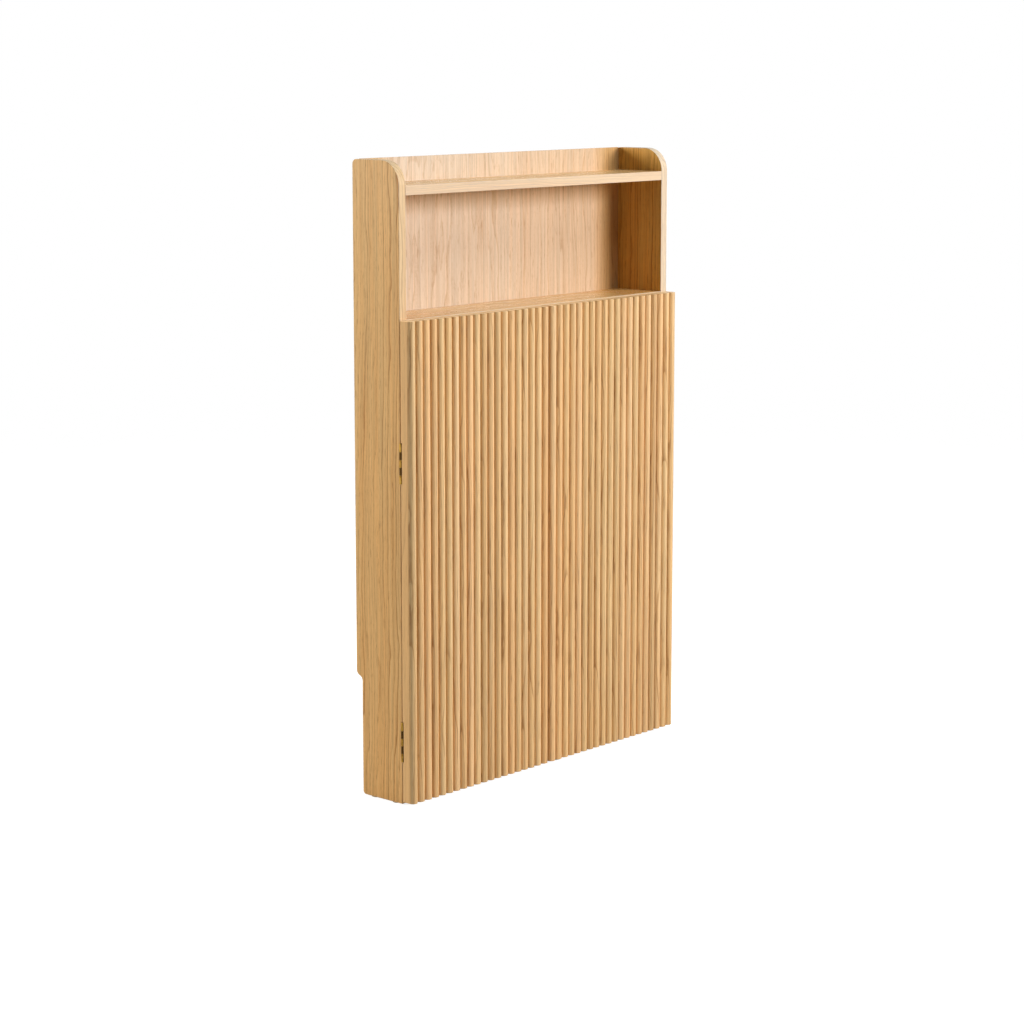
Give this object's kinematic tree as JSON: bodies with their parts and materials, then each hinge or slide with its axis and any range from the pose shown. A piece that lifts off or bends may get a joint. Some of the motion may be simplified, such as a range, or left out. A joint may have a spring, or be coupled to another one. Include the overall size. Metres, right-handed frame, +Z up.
{
  "type": "fold down wall desk",
  "caption": "Slim oak wall desk with an open niche, a shelf tray and fluted doors on butt hinges that swing out as legs for the desk leaf hung behind them.",
  "frame": {"origin": "on the floor, midway between the side panels and midway between the slat crests and the rear edges of the sides", "axes": "+X to the right seen from the front, +Y towards the wall, +Z up"},
  "size_m": [0.654, 0.1216, 1],
  "materials": {
    "oak_board": "satin lacquered oak veneer",
    "oak_back": "satin lacquered oak veneer",
    "oak_slat": "satin oiled oak",
    "oak_solid": "satin oiled oak",
    "pale_timber": "planed",
    "beech_dowel": "plain",
    "brass": "satin",
    "steel": "zinc plated",
    "nylon": "moulded",
    "rubber": "matt",
    "catch_plastic": "moulded"
  },
  "bodies": {
    "cabinet": {"back_panel": "oak_back", "back_panel_screws": "steel", "batten_dowels": "beech_dowel", "bottom_board": "oak_board", "bottom_dowels": "beech_dowel", "deck_dowels": "beech_dowel", "floor_glides": "nylon", "leaf_bumpers": "rubber", "leaf_pivot_bushes": "nylon", "left_hinge_cabinet_screws": "brass", "left_lower_hinge_cabinet_leaf": "brass", "left_lower_hinge_pin": "brass", "left_side_panel": "oak_board", "left_upper_hinge_cabinet_leaf": "brass", "left_upper_hinge_pin": "brass", "lower_back_panel": "oak_back", "lower_fixing_rail": "pale_timber", "magnetic_catches": "catch_plastic", "niche_deck": "oak_board", "rail_dowels": "beech_dowel", "right_hinge_cabinet_screws": "brass", "right_lower_hinge_cabinet_leaf": "brass", "right_lower_hinge_pin": "brass", "right_side_panel": "oak_board", "right_upper_hinge_cabinet_leaf": "brass", "right_upper_hinge_pin": "brass", "shelf_dowels": "beech_dowel", "step_batten": "pale_timber", "top_shelf": "oak_board", "upper_fixing_rail": "pale_timber"},
    "left_door": {"left_door_board": "oak_board", "left_door_slats": "oak_slat", "left_support_cleat": "oak_solid", "left_cleat_dowels": "beech_dowel", "left_strike_plate": "steel", "left_door_glide": "nylon", "left_hinge_door_screws": "brass", "left_upper_hinge_door_leaf": "brass", "left_lower_hinge_door_leaf": "brass"},
    "right_door": {"right_door_board": "oak_board", "right_door_slats": "oak_slat", "right_support_cleat": "oak_solid", "right_cleat_dowels": "beech_dowel", "right_strike_plate": "steel", "right_door_glide": "nylon", "right_hinge_door_screws": "brass", "right_upper_hinge_door_leaf": "brass", "right_lower_hinge_door_leaf": "brass"},
    "leaf": {"desk_leaf": "oak_board", "leaf_front_lipping": "oak_solid", "leaf_pivot_pins": "steel"}
  },
  "joints": [
    {"name": "left_door_hinge", "type": "hinge", "parent": "cabinet", "child": "left_door", "pos_m": [-0.325, -0.03825, 0.38], "axis": [0, 0, -1], "range_deg": [0, 175]},
    {"name": "right_door_hinge", "type": "hinge", "parent": "cabinet", "child": "right_door", "pos_m": [0.325, -0.03825, 0.38], "axis": [0, 0, 1], "range_deg": [0, 175]},
    {"name": "leaf_pivot", "type": "hinge", "parent": "cabinet", "child": "leaf", "pos_m": [0, 0.02525, 0.734], "axis": [-1, 0, 0], "range_deg": [0, 7]}
  ]
}
